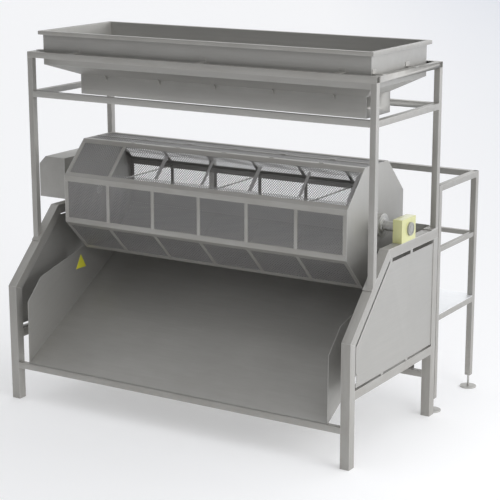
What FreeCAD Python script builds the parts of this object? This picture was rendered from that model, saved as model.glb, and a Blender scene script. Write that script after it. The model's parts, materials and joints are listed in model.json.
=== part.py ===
import FreeCAD, Part
import math
import os

# Rotary drum machine with a feed hopper above, a discharge chute below and a
# railed operator platform behind.  Millimetres, +Z up.
# Working axes while building: X runs along the drum from the outer face of the
# left end frame, Y runs from the front legs towards the platform, Z is height.
# Every piece is moved at export so that the origin lies on the floor under the
# middle of the machine's overall box.

V = FreeCAD.Vector
os.makedirs("parts", exist_ok=True)

# ---- end frames -------------------------------------------------------------
LENGTH = 3290.0            # outer face to outer face of the two end frames
TUBE = 80.0                # square box section of the end frames
TUBE_WALL = 4.0
LEG_TOP = 1000.0           # front leg height where the slope starts
KNEE_Y = 605.0             # slope meets the top rail
RAIL_TOP = 1600.0          # top of the rail that carries the bearings
DEPTH = 1500.0             # front face of front leg to back face of rear leg
SIDE_RAIL_Z = 543.0        # underside of the bottom side rail
SIDE_RAIL_H = 70.0

# ---- side panels ------------------------------------------------------------
PANEL_T = 3.0
PANEL_INSET = 5.0          # from the outer face of the frame
PANEL_GAP = 18.0           # slot between panel and the legs and bottom rail
PANEL_TOP_GAP = 32.0       # slot under the top rail
PANEL_SLOPE_GAP = 25.0     # slot along the sloped rail
NOTCH_DEPTH = 15.0
NOTCH_Z = (36.0, 110.0)    # above the panel's bottom edge
TAB_W = 40.0
TOP_TAB_Y = 1021.0
BOTTOM_TABS_Y = (538.0, 972.0)

# ---- cross rails ------------------------------------------------------------
CROSS = 50.0
FRONT_CROSS_Z = 281.0
REAR_CROSS_Z = 333.0
REAR_HIGH_CROSS_Z = 1090.0
REAR_PANEL_Z = (1100.0, 1615.0)

# ---- upper frame ------------------------------------------------------------
POST = 50.0
POST_WALL = 3.0
FRONT_POST_Y = 352.0
REAR_POST_Y = 1450.0
TOP_RING_Z = 2905.0
SECOND_RING_Z = 2575.0
BASE_PLATE_T = 8.0
BASE_PLATE_L = 125.0

# ---- hopper -----------------------------------------------------------------
HOP_X0 = 97.0
HOP_Y0 = 452.0
HOP_Y1 = 1401.0
HOP_T = 4.0
HOP_TOP = 3125.0
HOP_WALL_BOTTOM = 2842.0
RIM_OUT = 31.0
RIM_DROP = 31.0
SKIRT_X0 = 275.0
SKIRT_Y0 = 724.0
SKIRT_Y1 = 1129.0
SKIRT_TOP = 2741.0
SKIRT_BOTTOM = 2575.0
GUSSET = 42.0
FRONT_BRACKETS_X = (456.0, 1702.0, 2949.0)
SIDE_BRACKETS_Y = (492.0, 1052.0)
BRACKET_W = 60.0
BRACKET_LEG = 36.0
BRACKET_T = 5.0
BRACKET_SET_BACK = 8.0     # foot ends short of the ring's outer face
GUSSET_T = 5.0
GUSSETS_PER_SIDE = 5

# ---- discharge chute --------------------------------------------------------
CHUTE_X0 = 187.0           # inner faces of the chute walls
CHUTE_X1 = 3088.0
CHUTE_T = 3.0
CHUTE_Y0 = 16.0
CHUTE_Z0 = 335.0
CHUTE_SLOPE = 0.574        # rise per run of the floor
CHUTE_Y1 = 1430.0
CHUTE_LIP = (4.0, 36.0)    # front and back edge of the lip on the cross rail
CHUTE_LIP_T = 4.0
WALL_NOSE = 8.0            # blunt front corners of a chute wall
WALL_FRONT_TOP = 876.0
WALL_KNEE = (209.0, 1059.0)
WALL_BACK = (1400.0, 1350.0)
SIGN_SIDE = 142.0
SIGN_T = 1.5
SIGN_Y = 764.0
SIGN_Z = 1016.0

# ---- drum -------------------------------------------------------------------
AXIS_Y = 969.0
AXIS_Z = 1696.0
APOTHEM = 484.0            # axis to the outside of a flat face
PLATE_T = 6.0
DRUM_X0 = 252.0            # outer faces of the two end plates
DRUM_X1 = 2990.0
BAYS = 6
RIB_W = 32.0
SKIN_T = 4.0               # ribs and edge angles
FLANGE = 44.0              # width of an edge angle's flange
SHEET_T = 2.0
LOADING_FACE = 135.0       # direction of the face with the open bays, degrees
TOP_FACE = 90.0            # has a long bar instead of ribs
UPPER_STRIP = 40.0         # sheet left above the openings, past the flange
LOWER_STRIP = 30.0         # and below them
BETWEEN_STRIP = 30.0       # and between two openings
END_STRIP = 37.0           # and at the right end plate
STRIP_GAP = 1.0            # where one strip ends beside another
SHEET_EDGE_GAP = 2.0       # between neighbouring sheets at a corner
TIE_R = 6.0
TIE_BAY_LINES = (1, 3, 5)
TIE_Z = 181.0              # above the axis
TOP_BAR_W = 18.0
CLIP = (46.0, 14.0, 6.0)

# ---- shafts, hubs and bearings ----------------------------------------------
SHAFT_R = 40.0
HUB_R = 95.0
HUB_L = 70.0
COLLAR_R = 56.0
COLLAR_L = 12.0
RUN_CLEARANCE = 0.05
BEARING_R = 55.0
BLOCK_Y = (826.0, 1072.0)
BLOCK_TOP = 1788.0
BLOCK_EASE = 8.0           # rounding of the block's upper edges
SPIGOT_R = 42.0            # outer hole of a block
SPIGOT_L = 8.0
CAP_R = 53.0
CAP_OUT = 14.0             # the cap stands proud of the block
CAP_RECESS = (30.0, 42.0)  # inner and outer radius of the sunk ring
CAP_RECESS_DEPTH = 3.0
RING_GAP = 2.0             # free end of a bearing to the block's inner face

# ---- drive ------------------------------------------------------------------
COVER_X0 = -282.5
COVER_Y = (810.0, 1300.0)
COVER_Z = (1607.0, 1973.0)
COVER_CHAMFER = 70.0
COVER_T = 3.0
BACKPLATE_T = 8.0
MOTOR_Y = 1185.0
MOTOR_Z = 1800.0
DRUM_PULLEY_R = 75.0
MOTOR_PULLEY_R = 37.5
PULLEY_W = 44.0
BELT_T = 8.0
BELT_GAP = 0.4
MOTOR_SHAFT_R = 14.0
PULLEY_RIM = (5.0, 3.0)    # height and thickness of a pulley's flange
BELT_X0 = -70.0            # outer face of both pulleys
MOTOR_GAP = 16.0           # gear case to pulleys
GEAR_CASE = 120.0          # side of the square gear case
GEAR_CASE_L = 90.0
MOTOR_R = 55.0
MOTOR_L = 95.0
ARM_T = 12.0               # foot between gear case and back plate
MOTOR_BORE_L = 60.0

# ---- operator platform ------------------------------------------------------
PLAT_X0 = 550.0
PLAT_X1 = 3270.0
PLAT_Y0 = 1553.0
PLAT_Y1 = 2342.0
PLAT_TUBE = 50.0
DECK_TOP = 836.0
DECK_SHEET_T = 5.0
GUARD_TOP = 1936.0
MID_TOP = 1408.0
MID_TUBE = 38.0
POST_BOTTOM = 112.0
FOOT_R = 72.5
FOOT_T = 12.0
STEM_R = 10.0
MID_LEG_X = 1885.0
LINK_INSET = 200.0
LINK_W = 60.0
LINK_T = 6.0

ORIGIN_X = (COVER_X0 + PLAT_X1 - PLAT_TUBE / 2 + FOOT_R) / 2
ORIGIN_Y = (PLAT_Y1 - PLAT_TUBE / 2 + FOOT_R) / 2


def export(name, shape):
    """Write one node, moved so that the origin is under the middle of the machine."""
    moved = shape.copy()
    moved.translate(V(-ORIGIN_X, -ORIGIN_Y, 0))
    moved.exportStep("parts/" + name + ".step")


def box(x0, x1, y0, y1, z0, z1):
    return Part.makeBox(x1 - x0, y1 - y0, z1 - z0, V(x0, y0, z0))


def group(solids):
    return Part.makeCompound(solids)


def tube(x0, x1, y0, y1, z0, z1, along, wall, closed_start=False):
    """Straight box section along X, Y or Z, open ended unless its start is closed."""
    low = [x0 + wall, y0 + wall, z0 + wall]
    high = [x1 - wall, y1 - wall, z1 - wall]
    i = "XYZ".index(along)
    low[i] = (x0, y0, z0)[i] + (wall if closed_start else -1)
    high[i] = (x1, y1, z1)[i] + 1
    bore = box(low[0], high[0], low[1], high[1], low[2], high[2])
    return box(x0, x1, y0, y1, z0, z1).cut(bore)


def prism_x(points_yz, x0, x1):
    """Solid with a polygon in the YZ plane, from x0 to x1."""
    wire = Part.makePolygon([V(x0, y, z) for y, z in points_yz] + [V(x0, *points_yz[0])])
    return Part.Face(wire).extrude(V(x1 - x0, 0, 0))


def prism_y(points_xz, y0, y1):
    """Solid with a polygon in the XZ plane, from y0 to y1."""
    ring = [V(x, y0, z) for x, z in points_xz]
    wire = Part.makePolygon(ring + [ring[0]])
    return Part.Face(wire).extrude(V(0, y1 - y0, 0))


def offset_line(p, q, distance):
    """The line through p and q moved to its left by distance."""
    dy, dz = q[0] - p[0], q[1] - p[1]
    size = math.hypot(dy, dz)
    shift = (-dz / size * distance, dy / size * distance)
    return (p[0] + shift[0], p[1] + shift[1]), (q[0] + shift[0], q[1] + shift[1])


def meet(line_a, line_b):
    """Crossing point of two lines, each given by two points."""
    (ax, ay), (bx, by) = line_a
    (cx, cy), (dx, dy) = line_b
    rx, ry, sx, sy = bx - ax, by - ay, dx - cx, dy - cy
    t = ((cx - ax) * sy - (cy - ay) * sx) / (rx * sy - ry * sx)
    return (ax + t * rx, ay + t * ry)


def mitred_tube(corners, x0, x1, wall, inset_ends):
    """Box section in the YZ plane between mitred ends.

    corners run counter-clockwise as outer start, inner start, inner end and
    outer end, and inset_ends gives the wall left at the start and the end.
    """
    insets = (inset_ends[0], wall, inset_ends[1], wall)
    lines = []
    for i in range(4):
        lines.append(offset_line(corners[i], corners[(i + 1) % 4], insets[i]))
    bore = [meet(lines[i - 1], lines[i]) for i in range(4)]
    return prism_x(corners, x0, x1).cut(prism_x(bore, x0 + wall, x1 - wall))


# ---------------------------------------------------------------------------
# End frames
# ---------------------------------------------------------------------------
SLOPE_OUT = ((0.0, LEG_TOP), (KNEE_Y, RAIL_TOP))
SLOPE_IN = offset_line(SLOPE_OUT[0], SLOPE_OUT[1], -TUBE)
LEG_INNER = ((TUBE, 0.0), (TUBE, LEG_TOP))
RAIL_UNDER = ((0.0, RAIL_TOP - TUBE), (DEPTH, RAIL_TOP - TUBE))
LOW_MITRE = meet(SLOPE_IN, LEG_INNER)
KNEE_MITRE = meet(SLOPE_IN, RAIL_UNDER)


def front_leg(x0):
    corners = [(0, 0), (TUBE, 0), LOW_MITRE, (0, LEG_TOP)]
    insets = (TUBE_WALL, TUBE_WALL, 0, TUBE_WALL)
    lines = []
    for i in range(4):
        lines.append(offset_line(corners[i], corners[(i + 1) % 4], insets[i]))
    bore = [meet(lines[i - 1], lines[i]) for i in range(4)]
    leg = prism_x(corners, x0, x0 + TUBE)
    return leg.cut(prism_x(bore, x0 + TUBE_WALL, x0 + TUBE - TUBE_WALL))


def sloped_rail(x0):
    corners = [(0, LEG_TOP), LOW_MITRE, KNEE_MITRE, (KNEE_Y, RAIL_TOP)]
    return mitred_tube(corners, x0, x0 + TUBE, TUBE_WALL, (0, 0))


def top_rail(x0):
    corners = [(KNEE_Y, RAIL_TOP), KNEE_MITRE,
               (DEPTH, RAIL_TOP - TUBE), (DEPTH, RAIL_TOP)]
    return mitred_tube(corners, x0, x0 + TUBE, TUBE_WALL, (0, TUBE_WALL))


def rear_leg(x0):
    return tube(x0, x0 + TUBE, DEPTH - TUBE, DEPTH, 0, RAIL_TOP - TUBE, "Z",
                TUBE_WALL, closed_start=True)


def side_rail(x0):
    return tube(x0, x0 + TUBE, TUBE, DEPTH - TUBE, SIDE_RAIL_Z,
                SIDE_RAIL_Z + SIDE_RAIL_H, "Y", TUBE_WALL)


def side_panel(x0):
    """Sheet filling the end frame, held by tabs with slots left between them."""
    low = SIDE_RAIL_Z + SIDE_RAIL_H
    under = RAIL_TOP - TUBE
    slope = offset_line(SLOPE_OUT[0], SLOPE_OUT[1], -TUBE - PANEL_SLOPE_GAP)
    front_y = TUBE + PANEL_GAP
    bottom, top = low + PANEL_GAP, under - PANEL_TOP_GAP
    lower_front = meet(slope, ((front_y, 0), (front_y, 1)))
    knee = meet(slope, ((0, top), (1, top)))
    notch_y, notch_low, notch_high = front_y + NOTCH_DEPTH, bottom + NOTCH_Z[0], bottom + NOTCH_Z[1]
    outline = [(front_y, bottom), (DEPTH - TUBE, bottom), (DEPTH - TUBE, top), knee,
               lower_front, (front_y, notch_high), (notch_y, notch_high),
               (notch_y, notch_low), (front_y, notch_low)]
    x1 = x0 + PANEL_T
    panel = prism_x(outline, x0, x1)
    for y in BOTTOM_TABS_Y:
        panel = panel.fuse(box(x0, x1, y - TAB_W / 2, y + TAB_W / 2, low, bottom))
    for y in (TOP_TAB_Y, knee[0] + TAB_W / 2):
        panel = panel.fuse(box(x0, x1, y - TAB_W / 2, y + TAB_W / 2, top, under))
    return panel.removeSplitter()


for side, frame_x in (("left", 0.0), ("right", LENGTH - TUBE)):
    export("frame_" + side + "_front_leg", front_leg(frame_x))
    export("frame_" + side + "_sloped_rail", sloped_rail(frame_x))
    export("frame_" + side + "_top_rail", top_rail(frame_x))
    export("frame_" + side + "_rear_leg", rear_leg(frame_x))
    export("frame_" + side + "_side_rail", side_rail(frame_x))
export("frame_left_side_panel", side_panel(PANEL_INSET))
export("frame_right_side_panel", side_panel(LENGTH - PANEL_INSET - PANEL_T))

INNER_X0, INNER_X1 = TUBE, LENGTH - TUBE
export("front_cross_rail", tube(INNER_X0, INNER_X1, 0, CROSS, FRONT_CROSS_Z,
                                FRONT_CROSS_Z + CROSS, "X", POST_WALL))
export("rear_low_cross_rail", tube(INNER_X0, INNER_X1, DEPTH - TUBE, DEPTH - TUBE + CROSS,
                                   REAR_CROSS_Z, REAR_CROSS_Z + CROSS, "X", POST_WALL))
export("rear_high_cross_rail", tube(INNER_X0, INNER_X1, DEPTH - TUBE, DEPTH - TUBE + CROSS,
                                    REAR_HIGH_CROSS_Z, REAR_HIGH_CROSS_Z + CROSS, "X",
                                    POST_WALL))
export("frame_rear_panel", box(INNER_X0, INNER_X1, DEPTH - PANEL_T, DEPTH, *REAR_PANEL_Z))

# ---------------------------------------------------------------------------
# Upper frame: four posts on base plates, and two rings of rails
# ---------------------------------------------------------------------------
SLOPE = (RAIL_TOP - LEG_TOP) / KNEE_Y
POST_X = (0.0, LENGTH - POST)


def slope_z(y):
    return LEG_TOP + SLOPE * y


def front_post(x0):
    """Post whose foot is cut to sit on its base plate on the sloped rail."""
    lift = BASE_PLATE_T * math.hypot(1, SLOPE)
    y0, y1 = FRONT_POST_Y, FRONT_POST_Y + POST
    foot = [(y0, slope_z(y0) + lift), (y1, slope_z(y1) + lift),
            (y1, TOP_RING_Z), (y0, TOP_RING_Z)]
    inner = [(y0 + POST_WALL, 0), (y1 - POST_WALL, 0),
             (y1 - POST_WALL, TOP_RING_Z + 1), (y0 + POST_WALL, TOP_RING_Z + 1)]
    bore = prism_x(inner, x0 + POST_WALL, x0 + POST - POST_WALL)
    return prism_x(foot, x0, x0 + POST).cut(bore)


def rear_post(x0):
    return tube(x0, x0 + POST, REAR_POST_Y, REAR_POST_Y + POST,
                RAIL_TOP + BASE_PLATE_T, TOP_RING_Z, "Z", POST_WALL)


def sloped_base_plate(x0):
    angle = math.degrees(math.atan(SLOPE))
    plate = box(0, TUBE, -BASE_PLATE_L / 2, BASE_PLATE_L / 2, 0, BASE_PLATE_T)
    plate.rotate(V(0, 0, 0), V(1, 0, 0), angle)
    middle = FRONT_POST_Y + POST / 2
    plate.translate(V(x0, middle, slope_z(middle)))
    return plate


def rear_base_plate(x0):
    return box(x0, x0 + TUBE, REAR_POST_Y + POST - BASE_PLATE_L, REAR_POST_Y + POST,
               RAIL_TOP, RAIL_TOP + BASE_PLATE_T)


export("hopper_posts", group([front_post(x) for x in POST_X] + [rear_post(x) for x in POST_X]))
PLATE_X = (0.0, LENGTH - TUBE)
export("post_base_plates", group([sloped_base_plate(x) for x in PLATE_X]
                                 + [rear_base_plate(x) for x in PLATE_X]))


def ring(z0, long_x0, long_x1):
    """Four rails: two along X from long_x0 to long_x1 and two along Y between them."""
    y0, y1, y2, y3 = (FRONT_POST_Y, FRONT_POST_Y + POST, REAR_POST_Y, REAR_POST_Y + POST)
    z1 = z0 + POST
    rails = [tube(long_x0, long_x1, y0, y1, z0, z1, "X", POST_WALL, closed_start=True),
             tube(long_x0, long_x1, y2, y3, z0, z1, "X", POST_WALL, closed_start=True)]
    for x in POST_X:
        rails.append(tube(x, x + POST, y1, y2, z0, z1, "Y", POST_WALL))
    return group(rails)


export("hopper_top_ring", ring(TOP_RING_Z, 0, LENGTH))
export("hopper_second_ring", ring(SECOND_RING_Z, POST, LENGTH - POST))

# ---------------------------------------------------------------------------
# Hopper: walls and funnel, rim, outlet skirt, brackets and gussets
# ---------------------------------------------------------------------------
HOP_X1 = LENGTH - HOP_X0
SKIRT_X1 = LENGTH - SKIRT_X0


def rect_wire(x0, x1, y0, y1, z):
    ring_points = [V(x0, y0, z), V(x1, y0, z), V(x1, y1, z), V(x0, y1, z), V(x0, y0, z)]
    return Part.makePolygon(ring_points)


def frustum(low, z0, high, z1):
    """Solid between two rectangles given as (x0, x1, y0, y1)."""
    return Part.makeLoft([rect_wire(*low, z0), rect_wire(*high, z1)], True, True)


def shrink(rect, amount):
    x0, x1, y0, y1 = rect
    return (x0 + amount, x1 - amount, y0 + amount, y1 - amount)


WALL_RECT = (HOP_X0, HOP_X1, HOP_Y0, HOP_Y1)
SKIRT_RECT = (SKIRT_X0, SKIRT_X1, SKIRT_Y0, SKIRT_Y1)


def hopper_body():
    outside = box(*WALL_RECT, HOP_WALL_BOTTOM, HOP_TOP - HOP_T)
    outside = outside.fuse(frustum(SKIRT_RECT, SKIRT_TOP, WALL_RECT, HOP_WALL_BOTTOM))
    walls_in, skirt_in = shrink(WALL_RECT, HOP_T), shrink(SKIRT_RECT, HOP_T)
    inside = box(*walls_in, HOP_WALL_BOTTOM, HOP_TOP + 1)
    inside = inside.fuse(frustum(skirt_in, SKIRT_TOP, walls_in, HOP_WALL_BOTTOM))
    drain = box(*skirt_in, SKIRT_TOP - 5, SKIRT_TOP + 5)
    return outside.cut(inside.fuse(drain)).removeSplitter()


def hopper_rim():
    """Outward flange round the mouth with a down-turned return."""
    outer = shrink(WALL_RECT, -RIM_OUT)
    flange = box(*outer, HOP_TOP - RIM_DROP, HOP_TOP)
    under = box(*shrink(outer, HOP_T), HOP_TOP - RIM_DROP - 1, HOP_TOP - HOP_T)
    mouth = box(*shrink(WALL_RECT, HOP_T), HOP_TOP - RIM_DROP - 1, HOP_TOP + 1)
    return flange.cut(under).cut(mouth)


def outlet_skirt():
    """Four upright sheets welded at the corners."""
    x0, x1, y0, y1 = SKIRT_RECT
    sheets = [box(x0, x1, y, y + HOP_T, SKIRT_BOTTOM, SKIRT_TOP) for y in (y0, y1 - HOP_T)]
    for x in (x0, x1 - HOP_T):
        sheets.append(box(x, x + HOP_T, y0 + HOP_T, y1 - HOP_T, SKIRT_BOTTOM, SKIRT_TOP))
    return group(sheets)


def hopper_brackets():
    """Angle brackets that hang the hopper walls on the top ring."""
    z0, half, t = TOP_RING_Z + POST, BRACKET_W / 2, BRACKET_T
    foot_front = HOP_Y0 - FRONT_POST_Y - BRACKET_SET_BACK
    foot_side = HOP_X0 - BRACKET_SET_BACK
    pieces = []
    for x in FRONT_BRACKETS_X:
        for wall, sign in ((HOP_Y0, -1), (HOP_Y1, 1)):
            ys = sorted((wall, wall + sign * foot_front))
            up = sorted((wall, wall + sign * t))
            foot = box(x - half, x + half, *ys, z0, z0 + t)
            leg = box(x - half, x + half, *up, z0 + t, z0 + BRACKET_LEG)
            pieces.append(foot.fuse(leg).removeSplitter())
    for y in SIDE_BRACKETS_Y:
        for wall, sign in ((HOP_X0, -1), (HOP_X1, 1)):
            xs = sorted((wall, wall + sign * foot_side))
            up = sorted((wall, wall + sign * t))
            foot = box(*xs, y - half, y + half, z0, z0 + t)
            leg = box(*up, y - half, y + half, z0 + t, z0 + BRACKET_LEG)
            pieces.append(foot.fuse(leg).removeSplitter())
    return group(pieces)


def skirt_gussets():
    """Triangular webs in the corner between funnel and skirt, front and back."""
    pieces = []
    pitch = (SKIRT_X1 - SKIRT_X0) / GUSSETS_PER_SIDE
    fall = (HOP_WALL_BOTTOM - SKIRT_TOP) / (SKIRT_Y0 - HOP_Y0)
    for i in range(GUSSETS_PER_SIDE):
        x = SKIRT_X0 + pitch * (i + 0.5)
        for y, sign in ((SKIRT_Y0, -1), (SKIRT_Y1, 1)):
            far = (y + sign * GUSSET, SKIRT_TOP + GUSSET * fall)
            corners = [(y, SKIRT_TOP - GUSSET), far, (y, SKIRT_TOP)]
            pieces.append(prism_x(corners, x - GUSSET_T / 2, x + GUSSET_T / 2))
    return group(pieces)


export("hopper_body", hopper_body())
export("hopper_rim", hopper_rim())
export("hopper_outlet_skirt", outlet_skirt())
export("hopper_brackets", hopper_brackets())
export("hopper_gussets", skirt_gussets())

# ---------------------------------------------------------------------------
# Discharge chute under the drum
# ---------------------------------------------------------------------------


def chute_z(y):
    return CHUTE_Z0 + CHUTE_SLOPE * (y - CHUTE_Y0)


def chute_floor():
    """Inclined sheet with a down-turned lip along its front edge."""
    t = CHUTE_T * math.hypot(1, CHUTE_SLOPE)
    sheet = prism_x([(CHUTE_Y0, chute_z(CHUTE_Y0)), (CHUTE_Y1, chute_z(CHUTE_Y1)),
                     (CHUTE_Y1, chute_z(CHUTE_Y1) + t), (CHUTE_Y0, chute_z(CHUTE_Y0) + t)],
                    CHUTE_X0, CHUTE_X1)
    lip = box(CHUTE_X0, CHUTE_X1, *CHUTE_LIP, FRONT_CROSS_Z + CROSS,
              FRONT_CROSS_Z + CROSS + CHUTE_LIP_T)
    return sheet.fuse(lip).removeSplitter()


def chute_wall(x0):
    foot, nose = FRONT_CROSS_Z + CROSS, CHUTE_Y0 + WALL_NOSE
    outline = [(CHUTE_Y0, foot), (nose, foot), (WALL_BACK[0], chute_z(WALL_BACK[0])),
               WALL_BACK, WALL_KNEE, (nose, WALL_FRONT_TOP)]
    return prism_x(outline, x0, x0 + CHUTE_T)


def warning_sign():
    """Plain triangular plate on the inner face of the left chute wall."""
    half, height = SIGN_SIDE / 2, SIGN_SIDE * math.sqrt(3) / 2
    corners = [(SIGN_Y - half, SIGN_Z), (SIGN_Y + half, SIGN_Z), (SIGN_Y, SIGN_Z + height)]
    return prism_x(corners, CHUTE_X0, CHUTE_X0 + SIGN_T)


export("chute_floor", chute_floor())
export("chute_left_wall", chute_wall(CHUTE_X0 - CHUTE_T))
export("chute_right_wall", chute_wall(CHUTE_X1))
export("chute_warning_sign", warning_sign())

# ---------------------------------------------------------------------------
# Drum: an octagon of edge angles and ribs with sheets inside it
# ---------------------------------------------------------------------------
HALF_STEP = math.radians(22.5)
FACE_ANGLES = [45.0 * i for i in range(8)]
SKIN_X0, SKIN_X1 = DRUM_X0 + PLATE_T, DRUM_X1 - PLATE_T


def on_face(shape, angle):
    """Turn a shape drawn on the +Y face of the drum round to the face at angle."""
    turned = shape.copy()
    turned.rotate(V(0, AXIS_Y, AXIS_Z), V(1, 0, 0), angle)
    return turned


def polar(radius, degrees):
    a = math.radians(degrees)
    return (AXIS_Y + radius * math.cos(a), AXIS_Z + radius * math.sin(a))


def octagon(apothem):
    radius = apothem / math.cos(HALF_STEP)
    return [polar(radius, 22.5 + 45 * i) for i in range(8)]


def end_plate(x0):
    plate = prism_x(octagon(APOTHEM), x0, x0 + PLATE_T)
    bore = Part.makeCylinder(SHAFT_R, PLATE_T + 2, V(x0 - 1, AXIS_Y, AXIS_Z), V(1, 0, 0))
    return plate.cut(bore)


def edge_angle(index):
    """Bent flat that follows one corner of the octagon."""
    outer_r, inner_r = APOTHEM / math.cos(HALF_STEP), (APOTHEM - SKIN_T) / math.cos(HALF_STEP)
    corner = 22.5 + 45 * index
    out_tip, in_tip = polar(outer_r, corner), polar(inner_r, corner)
    side = []
    for sign in (-1, 1):
        normal = math.radians(corner - sign * 22.5)
        run = (sign * math.sin(normal) * FLANGE, -sign * math.cos(normal) * FLANGE)
        outer = (out_tip[0] + run[0], out_tip[1] + run[1])
        inner = (outer[0] - SKIN_T * math.cos(normal), outer[1] - SKIN_T * math.sin(normal))
        side.append((outer, inner))
    corners = [out_tip, side[1][0], side[1][1], in_tip, side[0][1], side[0][0]]
    return prism_x(corners, SKIN_X0, SKIN_X1)


FACE_HALF = APOTHEM * math.tan(HALF_STEP)
PITCH = (DRUM_X1 - DRUM_X0) / BAYS


def bay_line(index):
    """Middle of the rib at a bay line; the end ribs lie against the end plates."""
    low, high = SKIN_X0 + RIB_W / 2, SKIN_X1 - RIB_W / 2
    return min(max(DRUM_X0 + PITCH * index, low), high)


def drum_ribs():
    half = FACE_HALF - FLANGE
    pieces = []
    for i in range(BAYS + 1):
        x = bay_line(i)
        rib = box(x - RIB_W / 2, x + RIB_W / 2, AXIS_Y + APOTHEM - SKIN_T, AXIS_Y + APOTHEM,
                  AXIS_Z - half, AXIS_Z + half)
        for angle in FACE_ANGLES:
            beside_opening = angle == LOADING_FACE and i > 1
            if angle != TOP_FACE and not beside_opening:
                pieces.append(on_face(rib, angle))
    return group(pieces)


SHEET_DEPTH = APOTHEM - SKIN_T
SHEET_HALF = (SHEET_DEPTH - SHEET_T) * math.tan(HALF_STEP) - SHEET_EDGE_GAP


def face_sheet(x0, x1, low=-SHEET_HALF, high=SHEET_HALF):
    """Sheet on the +Y face, between two distances from the middle of the face."""
    return box(x0, x1, AXIS_Y + SHEET_DEPTH - SHEET_T, AXIS_Y + SHEET_DEPTH,
               AXIS_Z + low, AXIS_Z + high)


def face_panels():
    sheet = face_sheet(SKIN_X0, SKIN_X1)
    return group([on_face(sheet, a) for a in FACE_ANGLES if a != LOADING_FACE])


def loading_face_sheets():
    """Whole sheet in the first bay, and strips round the openings of the other bays."""
    opening_x0 = bay_line(1) + RIB_W / 2
    upper = -(FACE_HALF - FLANGE - UPPER_STRIP)
    lower = FACE_HALF - FLANGE - LOWER_STRIP
    strips_x0 = opening_x0 + STRIP_GAP
    cross_strips = [(bay_line(i) - BETWEEN_STRIP / 2, bay_line(i) + BETWEEN_STRIP / 2)
                    for i in range(2, BAYS)]
    cross_strips.append((SKIN_X1 - END_STRIP, SKIN_X1))
    sheets = [face_sheet(SKIN_X0, opening_x0),
              face_sheet(strips_x0, SKIN_X1, -SHEET_HALF, upper),
              face_sheet(strips_x0, SKIN_X1, lower, SHEET_HALF)]
    for x0, x1 in cross_strips:
        sheets.append(face_sheet(x0, x1, upper + STRIP_GAP, lower - STRIP_GAP))
    return group([on_face(sheet, LOADING_FACE) for sheet in sheets])


def tie_rods():
    """Rods across the drum between the front and back edge angles."""
    reach = APOTHEM - SKIN_T - SHEET_T
    rods = []
    for i in TIE_BAY_LINES:
        start = V(bay_line(i), AXIS_Y - reach, AXIS_Z + TIE_Z)
        rods.append(Part.makeCylinder(TIE_R, 2 * reach, start, V(0, 1, 0)))
    return group(rods)


def top_bar():
    """Narrow bar along the middle of the top face, from end plate to end plate."""
    z1 = AXIS_Z + APOTHEM
    return box(SKIN_X0, SKIN_X1, AXIS_Y - TOP_BAR_W / 2, AXIS_Y + TOP_BAR_W / 2, z1 - SKIN_T, z1)


def panel_clips():
    """Small polished clips past the bay lines, on the bar and on the front edge angle."""
    length, width, height = CLIP
    z0 = AXIS_Z + APOTHEM
    clips = []
    for i in range(1, BAYS):
        x = bay_line(i) + RIB_W / 2 + length
        for y in (AXIS_Y, AXIS_Y - FACE_HALF + width):
            clips.append(box(x - length / 2, x + length / 2, y - width / 2, y + width / 2,
                             z0, z0 + height))
    return group(clips)


export("drum_left_end_plate", end_plate(DRUM_X0))
export("drum_right_end_plate", end_plate(DRUM_X1 - PLATE_T))
export("drum_edge_angles", group([edge_angle(i) for i in range(8)]))
export("drum_ribs", drum_ribs())
export("drum_face_panels", face_panels())
export("drum_loading_face_panel", loading_face_sheets())
export("drum_tie_rods", tie_rods())
export("drum_top_bar", top_bar())
export("drum_panel_clips", panel_clips())

# ---------------------------------------------------------------------------
# Hubs, shafts and bearings
# ---------------------------------------------------------------------------


def disc(radius, x0, x1, y=AXIS_Y, z=AXIS_Z):
    return Part.makeCylinder(radius, x1 - x0, V(x0, y, z), V(1, 0, 0))


def hub(x0, x1, collar_x0, collar_x1):
    body = disc(HUB_R, x0, x1).fuse(disc(COLLAR_R, collar_x0, collar_x1))
    low, high = min(x0, collar_x0), max(x1, collar_x1)
    return body.cut(disc(SHAFT_R, low - 1, high + 1)).removeSplitter()


SHAFT_END_RIGHT = LENGTH - SPIGOT_L - RING_GAP
SHAFT_END_LEFT = -90.0
export("drum_hubs", group([
    hub(DRUM_X1, DRUM_X1 + HUB_L, DRUM_X1 + HUB_L, DRUM_X1 + HUB_L + COLLAR_L),
    hub(DRUM_X0 - HUB_L, DRUM_X0, DRUM_X0 - HUB_L - COLLAR_L, DRUM_X0 - HUB_L)]))
export("drum_right_shaft", disc(SHAFT_R, DRUM_X1 - PLATE_T, SHAFT_END_RIGHT))
export("drum_left_shaft", disc(SHAFT_R, SHAFT_END_LEFT, DRUM_X0 + PLATE_T))


def bearing_block(x0, seat_x0, seat_x1):
    """Block with a bearing seat open to the drum and a smaller outer hole."""
    y0, y1 = BLOCK_Y
    block = box(x0, x0 + TUBE, y0, y1, RAIL_TOP, BLOCK_TOP)
    upper = [e for e in block.Edges if abs(e.Length - TUBE) < 1 and e.CenterOfMass.z > RAIL_TOP + 1]
    block = block.makeFillet(BLOCK_EASE, upper)
    seat = disc(BEARING_R, seat_x0, seat_x1)
    return block.cut(seat).cut(disc(SPIGOT_R, x0 - 1, x0 + TUBE + 1))


def bearing_ring(x0, x1):
    return disc(BEARING_R, x0, x1).cut(disc(SHAFT_R + RUN_CLEARANCE, x0 - 1, x1 + 1))


RIGHT_BLOCK_X = LENGTH - TUBE
export("right_bearing_block", bearing_block(RIGHT_BLOCK_X, RIGHT_BLOCK_X - 1, LENGTH - SPIGOT_L))
export("left_bearing_block", bearing_block(0.0, SPIGOT_L, TUBE + 1))
export("shaft_bearings", group([bearing_ring(RIGHT_BLOCK_X + RING_GAP, LENGTH - SPIGOT_L),
                                bearing_ring(SPIGOT_L, TUBE - RING_GAP)]))


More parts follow.
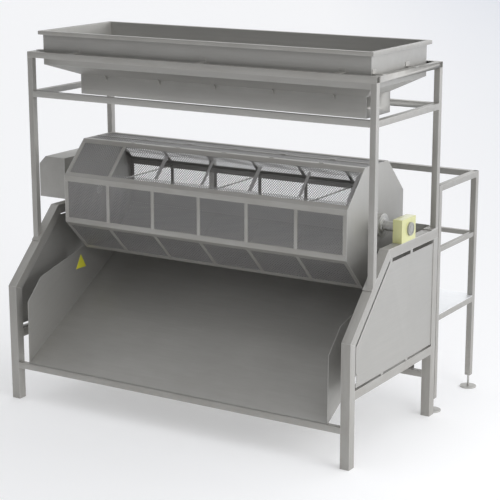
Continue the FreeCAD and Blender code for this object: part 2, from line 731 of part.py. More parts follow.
def bearing_cap():
    """Round cap with a sunk ring, on a spigot in the outer hole of the right block."""
    face_x = LENGTH + CAP_OUT
    plate = disc(CAP_R, LENGTH, face_x).fuse(disc(SPIGOT_R, LENGTH - SPIGOT_L, LENGTH))
    inner_r, outer_r = CAP_RECESS
    floor_x = face_x - CAP_RECESS_DEPTH
    recess = disc(outer_r, floor_x, face_x + 1).cut(disc(inner_r, floor_x - 1, face_x + 2))
    return plate.cut(recess)


export("right_bearing_cap", bearing_cap())

# ---------------------------------------------------------------------------
# Drive: back plate, cover, gearmotor, pulleys and belt
# ---------------------------------------------------------------------------
BELT_X = (BELT_X0, BELT_X0 + PULLEY_W)
MOTOR_FACE_X = BELT_X0 - MOTOR_GAP


def drive_backplate():
    plate = box(-BACKPLATE_T, 0, COVER_Y[0], COVER_Y[1], COVER_Z[0], COVER_Z[1])
    return plate.cut(disc(SHAFT_R + 12, -BACKPLATE_T - 1, 1))


def drive_cover():
    """Sheet box with one chamfered edge, open towards the back plate."""
    c, x0, x1 = COVER_CHAMFER, COVER_X0, -BACKPLATE_T
    y0, y1 = COVER_Y
    z0, z1 = COVER_Z

    def shell(inset):
        cut = c - inset * 0.586
        corners = [(x0 + inset, z0 + inset), (x1 + inset, z0 + inset), (x1 + inset, z1 - inset),
                   (x0 + inset + cut, z1 - inset), (x0 + inset, z1 - inset - cut)]
        return prism_y(corners, y0 + inset, y1 - inset)

    outside = prism_y([(x0, z0), (x1, z0), (x1, z1), (x0 + c, z1), (x0, z1 - c)], y0, y1)
    return outside.cut(shell(COVER_T))


def gearmotor():
    """Gear case with the motor behind it, standing on a foot on the back plate."""
    half, case_x0 = GEAR_CASE / 2, MOTOR_FACE_X - GEAR_CASE_L
    y0, y1, z0, z1 = MOTOR_Y - half, MOTOR_Y + half, MOTOR_Z - half, MOTOR_Z + half
    case = box(case_x0, MOTOR_FACE_X, y0, y1, z0, z1)
    body = disc(MOTOR_R, case_x0 - MOTOR_L, case_x0, MOTOR_Y, MOTOR_Z)
    arm = box(case_x0, -BACKPLATE_T, y1, y1 + ARM_T, z0, z1)
    bore = disc(MOTOR_SHAFT_R + RUN_CLEARANCE, MOTOR_FACE_X - MOTOR_BORE_L, MOTOR_FACE_X + 1,
                MOTOR_Y, MOTOR_Z)
    return case.fuse([body, arm]).cut(bore).removeSplitter()


def pulley(radius, bore, y, z):
    x0, x1 = BELT_X
    rim_h, rim_t = PULLEY_RIM
    wheel = disc(radius, x0, x1, y, z)
    for x in (x0, x1 - rim_t):
        wheel = wheel.fuse(disc(radius + rim_h, x, x + rim_t, y, z))
    return wheel.cut(disc(bore, x0 - 1, x1 + 1, y, z)).removeSplitter()


def loop(grow, x0, x1):
    """Solid bounded by the belt line round both pulleys, grown outwards."""
    r1, r2 = DRUM_PULLEY_R + grow, MOTOR_PULLEY_R + grow
    dy, dz = MOTOR_Y - AXIS_Y, MOTOR_Z - AXIS_Z
    span, heading = math.hypot(dy, dz), math.atan2(dz, dy)
    lean = math.acos((r1 - r2) / span)
    ring_points = []
    for y, z, r, a in ((AXIS_Y, AXIS_Z, r1, lean), (MOTOR_Y, MOTOR_Z, r2, lean),
                       (MOTOR_Y, MOTOR_Z, r2, -lean), (AXIS_Y, AXIS_Z, r1, -lean)):
        ring_points.append((y + r * math.cos(heading + a), z + r * math.sin(heading + a)))
    band = prism_x(ring_points, x0, x1)
    band = band.fuse([disc(r1, x0, x1), disc(r2, x0, x1, MOTOR_Y, MOTOR_Z)])
    return band


def drive_belt():
    side = PULLEY_RIM[1] + BELT_GAP
    x0, x1 = BELT_X[0] + side, BELT_X[1] - side
    return loop(BELT_GAP + BELT_T, x0, x1).cut(loop(BELT_GAP, x0 - 1, x1 + 1))


export("drive_backplate", drive_backplate())
export("drive_cover", drive_cover())
export("drive_gearmotor", gearmotor())
export("drive_drum_pulley", pulley(DRUM_PULLEY_R, SHAFT_R, AXIS_Y, AXIS_Z))
motor_shaft = disc(MOTOR_SHAFT_R, MOTOR_FACE_X - MOTOR_BORE_L + 2, BELT_X[1], MOTOR_Y, MOTOR_Z)
motor_pulley = pulley(MOTOR_PULLEY_R, MOTOR_SHAFT_R, MOTOR_Y, MOTOR_Z)
export("drive_pinion_pulley", motor_pulley.fuse(motor_shaft).removeSplitter())
export("drive_belt", drive_belt())

# ---------------------------------------------------------------------------
# Operator platform
# ---------------------------------------------------------------------------
T = PLAT_TUBE
RIGHT_X, LEFT_X = PLAT_X1 - T, PLAT_X0
FRONT_Y, BACK_Y = PLAT_Y0, PLAT_Y1 - T
LEG_SPOTS = [(LEFT_X, BACK_Y), (RIGHT_X, BACK_Y), (RIGHT_X, FRONT_Y),
             (LEFT_X, FRONT_Y), (MID_LEG_X, FRONT_Y), (MID_LEG_X, BACK_Y)]
TALL, SHORT = LEG_SPOTS[:3], LEG_SPOTS[3:]


def platform_leg(x, y, top):
    return tube(x, x + T, y, y + T, POST_BOTTOM, top, "Z", POST_WALL, closed_start=True)


def guard_rail(z1, size):
    """Back rail and right side rail of the guard, fitted between the tall posts."""
    z0 = z1 - size
    inset = (T - size) / 2
    back = tube(LEFT_X + T, RIGHT_X, BACK_Y + inset, BACK_Y + inset + size, z0, z1, "X",
                POST_WALL)
    side = tube(RIGHT_X + inset, RIGHT_X + inset + size, FRONT_Y + T, BACK_Y, z0, z1, "Y",
                POST_WALL)
    return group([back, side])


def deck_frame():
    """Rails along X between the tall corners and joists along Y between them."""
    z0, z1 = DECK_TOP - T, DECK_TOP
    pieces = []
    for y in (FRONT_Y, BACK_Y):
        for x0, x1 in ((LEFT_X + T, MID_LEG_X), (MID_LEG_X + T, RIGHT_X)):
            pieces.append(tube(x0, x1, y, y + T, z0, z1, "X", POST_WALL))
    for x in (LEFT_X, MID_LEG_X, RIGHT_X):
        pieces.append(tube(x, x + T, FRONT_Y + T, BACK_Y, z0, z1, "Y", POST_WALL))
    return group(pieces)


def deck_sheet():
    sheet = box(LEFT_X, PLAT_X1, FRONT_Y, PLAT_Y1, DECK_TOP, DECK_TOP + DECK_SHEET_T)
    for x, y in TALL:
        sheet = sheet.cut(box(x - 1, x + T + 1, y - 1, y + T + 1, DECK_TOP - 1, DECK_TOP + 20))
    return sheet


def link_brackets():
    """Flat links that tie the platform's front rail to the cross rail behind the chute."""
    links = []
    for x in (LEFT_X + LINK_INSET, RIGHT_X - LINK_INSET):
        links.append(box(x, x + LINK_W, FRONT_Y - LINK_T, FRONT_Y, REAR_CROSS_Z, DECK_TOP))
        links.append(box(x, x + LINK_W, DEPTH - TUBE + CROSS, FRONT_Y - LINK_T,
                         REAR_CROSS_Z, REAR_CROSS_Z + LINK_T))
    return group(links)


export("platform_tall_posts", group([platform_leg(x, y, GUARD_TOP) for x, y in TALL]))
export("platform_short_legs", group([platform_leg(x, y, DECK_TOP) for x, y in SHORT]))
export("platform_top_rail", guard_rail(GUARD_TOP, T))
export("platform_mid_rail", guard_rail(MID_TOP, MID_TUBE))
export("platform_deck_frame", deck_frame())
export("platform_deck_sheet", deck_sheet())
export("platform_link_brackets", link_brackets())


def upright(radius, x, y, z0, z1):
    return Part.makeCylinder(radius, z1 - z0, V(x + T / 2, y + T / 2, z0))


export("platform_foot_stems", group([upright(STEM_R, x, y, FOOT_T, POST_BOTTOM)
                                     for x, y in LEG_SPOTS]))
export("platform_foot_discs", group([upright(FOOT_R, x, y, 0, FOOT_T)
                                     for x, y in LEG_SPOTS]))
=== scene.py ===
"""Looks for the rotary drum machine: stainless steel, real perforated sheets, studio light."""
import json
import math

import bmesh
import bpy
import numpy as np
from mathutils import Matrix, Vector

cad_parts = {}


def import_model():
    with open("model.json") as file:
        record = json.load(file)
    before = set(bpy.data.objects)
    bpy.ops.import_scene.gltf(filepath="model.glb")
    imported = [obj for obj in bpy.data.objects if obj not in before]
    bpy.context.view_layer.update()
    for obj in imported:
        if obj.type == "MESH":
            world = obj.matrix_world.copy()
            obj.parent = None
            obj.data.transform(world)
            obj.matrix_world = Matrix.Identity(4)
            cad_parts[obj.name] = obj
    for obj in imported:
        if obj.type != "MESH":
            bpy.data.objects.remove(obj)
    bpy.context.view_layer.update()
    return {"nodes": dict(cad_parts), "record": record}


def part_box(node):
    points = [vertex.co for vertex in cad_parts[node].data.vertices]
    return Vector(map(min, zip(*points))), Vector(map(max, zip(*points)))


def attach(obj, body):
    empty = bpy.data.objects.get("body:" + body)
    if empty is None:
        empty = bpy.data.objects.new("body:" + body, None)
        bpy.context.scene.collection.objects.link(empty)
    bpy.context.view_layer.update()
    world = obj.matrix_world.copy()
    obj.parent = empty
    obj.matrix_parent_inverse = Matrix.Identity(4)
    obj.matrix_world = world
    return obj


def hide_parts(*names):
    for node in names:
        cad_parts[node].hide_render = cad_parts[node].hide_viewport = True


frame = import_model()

SUBPARTS = {s["node"]: s["material_slot"] for s in frame["record"]["subparts"]}
BODY_OF = {}
for body_name, members in frame["record"]["behaviour"]["bodies"].items():
    for member in members:
        BODY_OF[member] = body_name

SCENE = bpy.context.scene


# ---------------------------------------------------------------------------
# Shader helpers
# ---------------------------------------------------------------------------
class Shader:
    """One material's node tree, with short calls for the nodes that this scene uses."""

    def __init__(self, name):
        self.material = bpy.data.materials.new(name)
        self.material.use_nodes = True
        self.tree = self.material.node_tree
        self.bsdf = self.tree.nodes["Principled BSDF"]

    def node(self, kind, **values):
        made = self.tree.nodes.new(kind)
        for key, value in values.items():
            setattr(made, key, value)
        return made

    def link(self, source, target):
        self.tree.links.new(source, target)

    def plug(self, node, socket, value):
        if isinstance(value, bpy.types.NodeSocket):
            self.link(value, node.inputs[socket])
        else:
            node.inputs[socket].default_value = value

    def math(self, operation, a, b):
        made = self.node("ShaderNodeMath", operation=operation)
        self.plug(made, 0, a)
        self.plug(made, 1, b)
        return made.outputs[0]

    def vector(self, operation, a, b=(0, 0, 0), scale=None):
        made = self.node("ShaderNodeVectorMath", operation=operation)
        self.plug(made, 0, a)
        self.plug(made, 1, b)
        if scale is not None:
            self.plug(made, "Scale", scale)
        return made.outputs["Value" if operation == "DOT_PRODUCT" else "Vector"]

    def noise(self, vector, scale, detail=2.0, roughness=0.5):
        made = self.node("ShaderNodeTexNoise")
        self.plug(made, "Vector", vector)
        self.plug(made, "Scale", scale)
        self.plug(made, "Detail", detail)
        self.plug(made, "Roughness", roughness)
        return made.outputs["Fac"]

    def span(self, value, low, high, to_low=0.0, to_high=1.0):
        made = self.node("ShaderNodeMapRange", clamp=True)
        self.plug(made, "Value", value)
        for socket, number in (("From Min", low), ("From Max", high),
                               ("To Min", to_low), ("To Max", to_high)):
            self.plug(made, socket, number)
        return made.outputs["Result"]

    def mix(self, factor, a, b):
        made = self.node("ShaderNodeMix", data_type="RGBA")
        self.plug(made, 0, factor)
        self.plug(made, 6, a if isinstance(a, bpy.types.NodeSocket) else (*a, 1))
        self.plug(made, 7, b if isinstance(b, bpy.types.NodeSocket) else (*b, 1))
        return made.outputs[2]

    def attribute(self, name, output="Fac"):
        return self.node("ShaderNodeAttribute", attribute_name=name).outputs[output]

    def position(self):
        return self.node("ShaderNodeTexCoord").outputs["Object"]

    def bump(self, height, distance, strength):
        made = self.node("ShaderNodeBump")
        self.plug(made, "Height", height)
        self.plug(made, "Distance", distance)
        self.plug(made, "Strength", strength)
        self.link(made.outputs[0], self.bsdf.inputs["Normal"])

    def set(self, **values):
        for key, value in values.items():
            socket = key.replace("_", " ")
            if isinstance(value, tuple) and len(value) == 3:
                value = (*value, 1)
            self.plug(self.bsdf, socket, value)


def grain_space(shader, along_scale, across_scale):
    """Position stretched along each piece's own grain direction."""
    place = shader.position()
    grain = shader.attribute("grain", "Vector")
    along = shader.vector("DOT_PRODUCT", place, grain)
    lengthwise = shader.vector("SCALE", grain, scale=along)
    across = shader.vector("SUBTRACT", place, lengthwise)
    return shader.vector("ADD", shader.vector("SCALE", across, scale=across_scale),
                         shader.vector("SCALE", lengthwise, scale=along_scale))


def steel(name, colour, roughness=0.50, metallic=0.62, streak=0.035, cloud=0.03, edge=0.3,
          weld=0.25, grain=420.0):
    """Satin stainless steel: fine grain, faint streaks and clouds, painted highlights on the eased
    edges, tinted ends.
    """
    s = Shader(name)
    fine = s.noise(grain_space(s, grain / 40, grain), 1.0, 2.0, 0.6)
    long_streak = s.noise(grain_space(s, 1.1, 95.0), 1.0, 3.0, 0.6)
    patches = s.noise(s.position(), 1.7, 3.0, 0.5)
    smears = s.noise(grain_space(s, 4.0, 16.0), 1.0, 4.0, 0.6)
    dark = tuple(c * (1 - streak) for c in colour)
    light = tuple(min(1.0, c * (1 + streak)) for c in colour)
    tone = s.mix(s.span(long_streak, 0.3, 0.7), dark, light)
    dull = tuple(c * (1 - cloud * 2) for c in colour)
    tone = s.mix(s.span(patches, 0.45, 0.75), tone, dull)
    # painted highlight: the eased edges are mixed towards near-white
    tone = s.mix(s.math("MULTIPLY", s.attribute("edge"), edge), tone, (0.9, 0.9, 0.88))
    ends = s.span(s.attribute("from_end"), 0.0, 0.03, 1.0, 0.0)
    heat = s.math("MULTIPLY", s.math("MULTIPLY", ends, s.span(smears, 0.3, 0.7)), weld)
    tone = s.mix(heat, tone, (colour[0] * 0.62, colour[1] * 0.56, colour[2] * 0.5))
    rough = s.math("ADD", s.span(long_streak, 0.25, 0.75, roughness - 0.03, roughness + 0.03),
                   s.span(smears, 0.35, 0.75, -0.02, 0.04))
    s.set(Base_Color=tone, Roughness=rough, Metallic=metallic, Specular_IOR_Level=0.4)
    s.bump(s.math("ADD", fine, s.math("MULTIPLY", long_streak, 0.5)), 0.00025, 0.25)
    return s.material


def paint(name, colour, roughness, speckle=0.05, edge=0.35, bare=(0.35, 0.34, 0.32)):
    """Sprayed paint: orange peel, slight fading, worn edges and a few scuffs."""
    s = Shader(name)
    peel = s.noise(s.position(), 380.0, 2.0)
    fade = s.noise(s.position(), 9.0, 3.0)
    scuffs = s.noise(s.position(), 55.0, 4.0, 0.65)
    tone = s.mix(s.span(fade, 0.3, 0.7), tuple(c * (1 - speckle) for c in colour),
                 tuple(min(1, c * (1 + speckle)) for c in colour))
    wear = s.math("MULTIPLY", s.attribute("edge"), s.span(scuffs, 0.42, 0.62, 0.0, edge))
    tone = s.mix(wear, tone, bare)
    s.set(Base_Color=tone, Roughness=s.span(scuffs, 0.3, 0.7, roughness - 0.05, roughness + 0.08),
          Coat_Weight=0.6, Coat_Roughness=0.12)
    s.bump(peel, 0.0004, 0.25)
    return s.material


def plastic(name, colour, roughness, grain=900.0):
    """Moulded plastic with a fine spark-eroded texture."""
    s = Shader(name)
    texture = s.noise(s.position(), grain, 2.0)
    blotch = s.noise(s.position(), 20.0, 2.0)
    tone = s.mix(s.span(blotch, 0.3, 0.7), tuple(c * 0.92 for c in colour),
                 tuple(c * 1.06 for c in colour))
    s.set(Base_Color=tone, Roughness=s.span(texture, 0.3, 0.7, roughness - 0.05, roughness + 0.1))
    s.bump(texture, 0.0003, 0.4)
    return s.material


def turned(name, colour, roughness):
    """Turned bar: fine rings across the shaft's length with oily patches."""
    s = Shader(name)
    split = s.node("ShaderNodeSeparateXYZ")
    s.link(s.position(), split.inputs[0])
    ring_noise = s.node("ShaderNodeTexNoise", noise_dimensions="1D")
    s.plug(ring_noise, "W", split.outputs["X"])
    s.plug(ring_noise, "Scale", 900.0)
    rings = ring_noise.outputs["Fac"]
    oil = s.noise(s.position(), 26.0, 3.0)
    tone = s.mix(s.span(oil, 0.4, 0.7), colour, tuple(c * 0.78 for c in colour))
    # painted highlight: the eased edges are mixed towards near-white
    tone = s.mix(s.math("MULTIPLY", s.attribute("edge"), 0.3), tone, (0.85, 0.85, 0.83))
    s.set(Base_Color=tone, Metallic=1.0,
          Roughness=s.span(rings, 0.3, 0.7, roughness - 0.06, roughness + 0.08))
    s.bump(rings, 0.0003, 0.35)
    return s.material


def cast(name, colour):
    """Sand-cast iron with a coarse skin."""
    s = Shader(name)
    skin = s.noise(s.position(), 260.0, 4.0, 0.65)
    stain = s.noise(s.position(), 18.0, 3.0)
    rusty = (colour[0] * 1.3, colour[1] * 0.95, colour[2] * 0.8)
    tone = s.mix(s.span(stain, 0.35, 0.7), colour, rusty)
    s.set(Base_Color=tone, Metallic=0.7, Roughness=s.span(skin, 0.3, 0.7, 0.5, 0.72))
    s.bump(skin, 0.0008, 0.5)
    return s.material


MATERIALS = {
    "brushed_stainless": steel("brushed stainless", (0.43, 0.422, 0.40)),
    "sheet_stainless": steel("sheet stainless", (0.42, 0.413, 0.393), weld=0.1),
    # painted shade: a darker copy of the same stainless, standing in for the shade on the drum's
    # perforated faces
    "perforated_stainless": steel("perforated stainless darkened for shade", (0.335, 0.33, 0.325), 0.45, weld=0.0,
                                  edge=0.0, grain=300.0),
    # painted light: a near-white copy of the same stainless, standing in for the overhead light on
    # the deck
    "deck_stainless": steel("deck stainless painted light", (0.86, 0.87, 0.88), 0.5, weld=0.05),
    "turned_steel": turned("turned steel", (0.60, 0.595, 0.575), 0.45),
    "yellow_paint": paint("yellow paint", (0.55, 0.55, 0.26), 0.35),
    "sign_yellow": paint("sign yellow", (0.75, 0.72, 0.05), 0.45, edge=0.1),
    "grey_plastic": plastic("grey plastic", (0.30, 0.30, 0.28), 0.45),
    "black_rubber": plastic("black rubber", (0.025, 0.025, 0.025), 0.75, grain=400.0),
    "motor_paint": paint("motor paint", (0.06, 0.10, 0.14), 0.4),
    "cast_pulley": cast("cast pulley", (0.12, 0.12, 0.12)),
}


# ---------------------------------------------------------------------------
# Finished copies of the CAD nodes: eased edges and a grain direction
# ---------------------------------------------------------------------------
EASE = {
    "frame_left_side_panel": 0.0008, "frame_right_side_panel": 0.0008,
    "frame_rear_panel": 0.0008, "chute_floor": 0.0008, "chute_left_wall": 0.0008,
    "chute_right_wall": 0.0008, "chute_warning_sign": 0.0004,
    "drum_edge_angles": 0.0012, "drum_ribs": 0.0012, "drum_top_bar": 0.0012,
    "drum_left_end_plate": 0.0015, "drum_right_end_plate": 0.0015, "hopper_body": 0.0012,
    "hopper_rim": 0.0014, "hopper_outlet_skirt": 0.0012, "hopper_gussets": 0.0012,
    "platform_deck_sheet": 0.0012, "drive_cover": 0.0014, "drum_panel_clips": 0.0015,
    "post_base_plates": 0.0015, "hopper_brackets": 0.0014, "platform_link_brackets": 0.0014,
    "right_bearing_cap": 0.001, "drive_belt": 0.0015,
}
TUBE_EASE = 0.0045
JOIN_DISTANCE = 1e-5
FLAT_ANGLE = math.radians(0.5)      # faces nearer to flat than this are joined
SHARP_ANGLE = math.radians(28)      # edges sharper than this are eased
SMOOTH_ANGLE = math.radians(32)     # edges sharper than this are shaded as corners
SLOPED_SPREAD = 0.2       # a solid this large along both Y and Z may lie on a slope
SIMPLE_SOLID = 200        # points in the largest solid that is treated as a rail


def merged_copy(node):
    """The CAD node's mesh with its split corners joined and its flat faces whole."""
    bm = bmesh.new()
    bm.from_mesh(frame["nodes"][node].data)
    bmesh.ops.remove_doubles(bm, verts=bm.verts, dist=JOIN_DISTANCE)
    bmesh.ops.dissolve_limit(bm, angle_limit=FLAT_ANGLE, verts=bm.verts, edges=bm.edges,
                             use_dissolve_boundaries=False)
    return bm


def islands(bm):
    """The separate solids of a mesh, as lists of vertices."""
    left, found = set(bm.verts), []
    while left:
        start = left.pop()
        island, queue = [start], [start]
        while queue:
            for edge in queue.pop().link_edges:
                for vert in edge.verts:
                    if vert in left:
                        left.remove(vert)
                        island.append(vert)
                        queue.append(vert)
        found.append(island)
    return found


def ease_edges(bm, width):
    """Bevels every sharp edge, and marks the new faces for the materials: painted highlights on
    steel and turned bar, worn edges on paint.
    """
    sharp = [e for e in bm.edges if len(e.link_faces) == 2
             and e.calc_face_angle(0.0) > SHARP_ANGLE]
    mark = bm.faces.layers.float.new("edge")
    made = bmesh.ops.bevel(bm, geom=sharp, offset=width, offset_type="OFFSET", segments=2,
                           profile=0.7, affect="EDGES", clamp_overlap=True)
    for face in made["faces"]:
        face[mark] = 1.0


def write_grain(bm, mesh):
    """Stores each solid's long direction and each point's distance from that solid's ends."""
    bm.verts.ensure_lookup_table()
    grain = np.zeros((len(bm.verts), 3), np.float32)
    from_end = np.ones(len(bm.verts), np.float32)
    for island in islands(bm):
        places = np.array([v.co for v in island])
        size = places.max(0) - places.min(0)
        axis = int(size.argmax())
        direction = np.zeros(3)
        direction[axis] = 1.0
        spread = size[1] > SLOPED_SPREAD and size[2] > SLOPED_SPREAD
        if spread and axis != 0 and len(island) < SIMPLE_SOLID:
            flat = places[:, 1:] - places[:, 1:].mean(0)
            direction[1:] = np.linalg.svd(flat, full_matrices=False)[2][0]
        reach = places @ direction
        index = [v.index for v in island]
        grain[index] = direction
        from_end[index] = np.minimum(reach - reach.min(), reach.max() - reach)
    mesh.attributes.new("grain", "FLOAT_VECTOR", "POINT").data.foreach_set("vector", grain.ravel())
    mesh.attributes.new("from_end", "FLOAT", "POINT").data.foreach_set("value", from_end)


def finish_mesh(bm, name):
    bm.verts.index_update()
    mesh = bpy.data.meshes.new(name)
    bm.to_mesh(mesh)
    write_grain(bm, mesh)
    bm.free()
    mesh.shade_smooth()
    mesh.set_sharp_from_angle(angle=SMOOTH_ANGLE)
    return mesh


def place(name, mesh, body, slot):
    """Adds a piece to the scene, riding on its body, with its slot's material."""
    piece = bpy.data.objects.new(name, mesh)
    SCENE.collection.objects.link(piece)
    mesh.materials.clear()
    mesh.materials.append(MATERIALS[slot])
    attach(piece, body)
    return piece


def finished(node):
    """Replaces a CAD node by its copy with eased edges."""
    bm = merged_copy(node)
    ease_edges(bm, EASE.get(node, TUBE_EASE))
    piece = place(node + "_finished", finish_mesh(bm, node), BODY_OF[node], SUBPARTS[node])
    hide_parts(node)


# ---------------------------------------------------------------------------
# Perforated sheets
# ---------------------------------------------------------------------------
HOLE_PITCH = 0.0237       # along a row; rows are staggered at 45 degrees
HOLE_R = 0.0078           # corner radius of the hexagonal holes
CORNERS = 6               # of each hole
FACES = 8                 # of the drum
FACE_STEP = 2 * math.pi / FACES
SHEET_BORDER = 1          # rows of sites left solid round a sheet
PLAIN_STRIP = 0.045       # a strip no longer than this along X has no holes


def perforated_plane(length, width, rectangles):
    """Points and faces of a flat sheet, centred on the origin, with hexagonal holes.

    Sites lie on a square lattice turned by 45 degrees. Each site has a hexagon of points,
    a strip joins each pair of neighbours, and a triangle fills the gap between three. The
    outermost sites and those of a plain strip keep their hexagon as a solid face. Only
    faces inside one of the rectangles (x0, x1, y0, y1) are kept.
    """
    plain = [r for r in rectangles if r[1] - r[0] <= PLAIN_STRIP]
    columns = int(length / HOLE_PITCH)
    row_step = HOLE_PITCH / 2
    rows = int(width / row_step)
    corner = [(HOLE_R * math.cos(math.radians(30 + 60 * k)),
               HOLE_R * math.sin(math.radians(30 + 60 * k))) for k in range(CORNERS)]
    points, faces = [], []

    def site(i, j):
        return (j * columns + i) * CORNERS

    for j in range(rows):
        for i in range(columns):
            x = (i - (columns - 1) / 2 + (0.25 if j % 2 else -0.25)) * HOLE_PITCH
            y = (j - (rows - 1) / 2) * row_step
            points.extend((x + dx, y + dy) for dx, dy in corner)
            edge_i = i < SHEET_BORDER or i >= columns - SHEET_BORDER
            edge_j = j < SHEET_BORDER or j >= rows - SHEET_BORDER
            in_strip = any(x0 <= x <= x1 and y0 <= y <= y1 for x0, x1, y0, y1 in plain)
            if edge_i or edge_j or in_strip:
                faces.append([site(i, j) + k for k in range(CORNERS)])
    for j in range(rows):
        for i in range(columns):
            a = site(i, j)
            right = site(i + 1, j) if i + 1 < columns else None
            up_right_i = i + 1 if j % 2 else i
            up_left_i = up_right_i - 1
            above = j + 1 < rows
            up_right = site(up_right_i, j + 1) if above and up_right_i < columns else None
            up_left = site(up_left_i, j + 1) if above and up_left_i >= 0 else None
            if right is not None:
                faces.append([a + 5, right + 3, right + 2, a])
            if up_right is not None:
                faces.append([a, up_right + 4, up_right + 3, a + 1])
            if up_left is not None:
                faces.append([a + 1, up_left + 5, up_left + 4, a + 2])
            if right is not None and up_right is not None:
                faces.append([a, right + 2, up_right + 4])
            if up_right is not None and up_left is not None:
                faces.append([a + 1, up_right + 3, up_left + 5])
    points = np.array(points)

    def wanted(face):
        x, y = points[face].mean(0)
        return any(x0 <= x <= x1 and y0 <= y <= y1 for x0, x1, y0, y1 in rectangles)

    faces = [face for face in faces if wanted(face)]
    used = sorted({v for face in faces for v in face})
    renamed = {v: i for i, v in enumerate(used)}
    return points[used], [[renamed[v] for v in face] for face in faces]


def thick_sheet(name, length, width, thickness, rectangles, centre, across, outward):
    """A closed perforated sheet: X is its length, across its width, outward its normal."""
    flat, faces = perforated_plane(length, width, rectangles)
    count = len(flat)
    base = centre + flat[:, :1] * np.array((1.0, 0, 0)) + flat[:, 1:] * across
    points = np.vstack([base + outward * thickness / 2, base - outward * thickness / 2])
    sides = set()
    for face in faces:
        for p, q in zip(face, face[1:] + face[:1]):
            if (q, p) in sides:
                sides.remove((q, p))
            else:
                sides.add((p, q))
    flipped = [[v + count for v in reversed(face)] for face in faces]
    walls = [[q, p, p + count, q + count] for p, q in sorted(sides)]
    mesh = bpy.data.meshes.new(name)
    mesh.from_pydata(points.tolist(), [], faces + flipped + walls)
    grain = np.tile(np.array((1.0, 0, 0), np.float32), (len(points), 1))
    mesh.attributes.new("grain", "FLOAT_VECTOR", "POINT").data.foreach_set("vector", grain.ravel())
    far = np.ones(len(points), np.float32)
    mesh.attributes.new("from_end", "FLOAT", "POINT").data.foreach_set("value", far)
    return mesh


def perforated_faces(node):
    """One perforated sheet for each face of the octagon that a CAD node has sheets on."""
    bm = merged_copy(node)
    low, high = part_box("drum_left_end_plate")
    axis = np.array((low + high) / 2)
    by_face = {}
    for island in islands(bm):
        places = np.array([v.co for v in island])
        middle = (places.max(0) + places.min(0)) / 2 - axis
        face = round(math.atan2(middle[2], middle[1]) / FACE_STEP) % FACES
        by_face.setdefault(face, []).append(places)
    bm.free()
    made = []
    for face, solids in sorted(by_face.items()):
        turn = FACE_STEP * face
        outward = np.array((0.0, math.cos(turn), math.sin(turn)))
        across = np.array((0.0, -math.sin(turn), math.cos(turn)))
        every = np.vstack(solids)
        x0, x1 = every[:, 0].min(), every[:, 0].max()
        a0, a1 = (every @ across).min(), (every @ across).max()
        depth = every @ outward
        middle_a = (a0 + a1) / 2
        centre = (np.array(((x0 + x1) / 2, 0, 0)) + across * middle_a
                  + outward * (depth.min() + depth.max()) / 2)
        rectangles = [(s[:, 0].min() - (x0 + x1) / 2, s[:, 0].max() - (x0 + x1) / 2,
                       (s @ across).min() - middle_a, (s @ across).max() - middle_a)
                      for s in solids]
        name = f"{node}_{len(made) + 1}"
        mesh = thick_sheet(name, x1 - x0, a1 - a0, np.ptp(depth), rectangles, centre, across,
                           outward)
        made.append(place(name, mesh, BODY_OF[node], SUBPARTS[node]))
    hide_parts(node)


PERFORATED = ("drum_face_panels", "drum_loading_face_panel")
for node in sorted(frame["nodes"]):
    if node in PERFORATED:
        perforated_faces(node)
    else:
        finished(node)


# ---------------------------------------------------------------------------
# Camera, floor and light
# ---------------------------------------------------------------------------
LENS = 111.63
VIEW_END = 200
EYE = (6.9142, -10.9771, 4.4024)
LOOK_DOWN, ROLL, HEADING = 0.2381, 0.0015, 0.5512


def camera():
    data = bpy.data.cameras.new("camera")
    data.lens = LENS
    data.clip_end = VIEW_END
    eye = bpy.data.objects.new("camera", data)
    eye.location = EYE
    eye.rotation_euler = (math.pi / 2 - LOOK_DOWN, ROLL, HEADING)
    SCENE.collection.objects.link(eye)
    SCENE.camera = eye


FLOOR_SIZE = 160.0
FLOOR_WHITE = (0.76, 0.76, 0.765)
# painted fall-off: the floor turns to this darker, cooler tone far off on the right
FLOOR_COOL_FALLOFF = (0.50, 0.525, 0.59)
# painted light: the floor glows so that its shadows under the machine are lifted
FLOOR_GLOW = 0.33
COOL_WAY = (0.85, 0.52, 0.0)        # the floor's tone cools in this direction
COOL_FROM, COOL_TO = 2.5, 16.0


def floor():
    """A wide pale studio floor with painted light: it turns a little cooler and darker far off on
    the right as a painted fall-off, and its glow lifts its own shadows.
    """
    bm = bmesh.new()
    bmesh.ops.create_grid(bm, x_segments=4, y_segments=4, size=FLOOR_SIZE)
    mesh = bpy.data.meshes.new("studio_floor")
    bm.to_mesh(mesh)
    bm.free()
    s = Shader("studio floor")
    drift = s.vector("DOT_PRODUCT", s.position(), COOL_WAY)
    tone = s.mix(s.span(drift, COOL_FROM, COOL_TO), FLOOR_WHITE, FLOOR_COOL_FALLOFF)
    s.set(Base_Color=tone, Roughness=0.9, Specular_IOR_Level=0.2,
          Emission_Color=tone, Emission_Strength=FLOOR_GLOW)
    mesh.materials.append(s.material)
    stage = bpy.data.objects.new("studio_floor", mesh)
    SCENE.collection.objects.link(stage)


LAMP_PLACE = Vector((5.4, -1.3, 3.4))
LAMP_TARGET = Vector((-0.8, -0.7, 1.1))
LAMP_WIDTH, LAMP_HEIGHT = 3.0, 2.2
LAMP_POWER = 70


def lamp():
    """A soft light from the right, which reaches into the chute and the end plates."""
    data = bpy.data.lights.new("soft_right", "AREA")
    data.shape = "RECTANGLE"
    data.size = LAMP_WIDTH
    data.size_y = LAMP_HEIGHT
    data.energy = LAMP_POWER
    light = bpy.data.objects.new("soft_right", data)
    light.location = LAMP_PLACE
    light.rotation_euler = (LAMP_TARGET - LAMP_PLACE).to_track_quat("-Z", "Y").to_euler()
    SCENE.collection.objects.link(light)


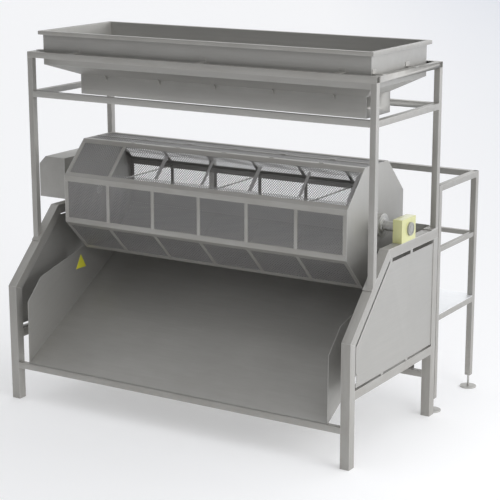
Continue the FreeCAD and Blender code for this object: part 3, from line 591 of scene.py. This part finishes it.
OVERHEAD = 0.85            # brightness of the surroundings straight up
BRIGHT_SIDE = 2.0          # low down on the right and behind
DIM_SIDE = 0.03            # low down in front and on the left
BRIGHT_WAY = (0.68, 0.73, 0.0)
SIDE_FROM, SIDE_TO = -0.6, 0.8      # from the dim side to the bright side
UP_FROM, UP_TO = 0.15, 0.85         # from the sides to overhead
SKY_TINT = (0.97, 0.98, 1.0, 1)
BACKDROP = 0.80            # plain surroundings past the floor's edge


def world():
    """Studio surroundings: bright overhead, right and behind, and dim in front.

    Only their light is graded: past the floor's edge they show as one pale tone.
    """
    made = bpy.data.worlds.new("studio")
    made.use_nodes = True
    tree = made.node_tree
    nodes, links = tree.nodes, tree.links
    way = nodes.new("ShaderNodeTexCoord").outputs["Generated"]
    split = nodes.new("ShaderNodeSeparateXYZ")
    links.new(way, split.inputs[0])
    side = nodes.new("ShaderNodeVectorMath")
    side.operation = "DOT_PRODUCT"
    links.new(way, side.inputs[0])
    side.inputs[1].default_value = BRIGHT_WAY
    low = nodes.new("ShaderNodeMapRange")
    links.new(side.outputs["Value"], low.inputs["Value"])
    for socket, number in (("From Min", SIDE_FROM), ("From Max", SIDE_TO),
                           ("To Min", DIM_SIDE), ("To Max", BRIGHT_SIDE)):
        low.inputs[socket].default_value = number
    low.interpolation_type = "SMOOTHSTEP"
    up = nodes.new("ShaderNodeMapRange")
    links.new(split.outputs["Z"], up.inputs["Value"])
    up.inputs["From Min"].default_value = UP_FROM
    up.inputs["From Max"].default_value = UP_TO
    up.interpolation_type = "SMOOTHSTEP"
    blend = nodes.new("ShaderNodeMix")
    links.new(up.outputs[0], blend.inputs[0])
    links.new(low.outputs[0], blend.inputs[2])
    blend.inputs[3].default_value = OVERHEAD
    back = nodes["Background"]
    back.inputs["Color"].default_value = SKY_TINT
    shown = nodes.new("ShaderNodeMix")
    links.new(nodes.new("ShaderNodeLightPath").outputs["Is Camera Ray"], shown.inputs[0])
    links.new(blend.outputs[0], shown.inputs[2])
    shown.inputs[3].default_value = BACKDROP
    links.new(shown.outputs[0], back.inputs["Strength"])
    SCENE.world = made


camera()
floor()
world()
lamp()
SCENE.view_settings.view_transform = "Standard"
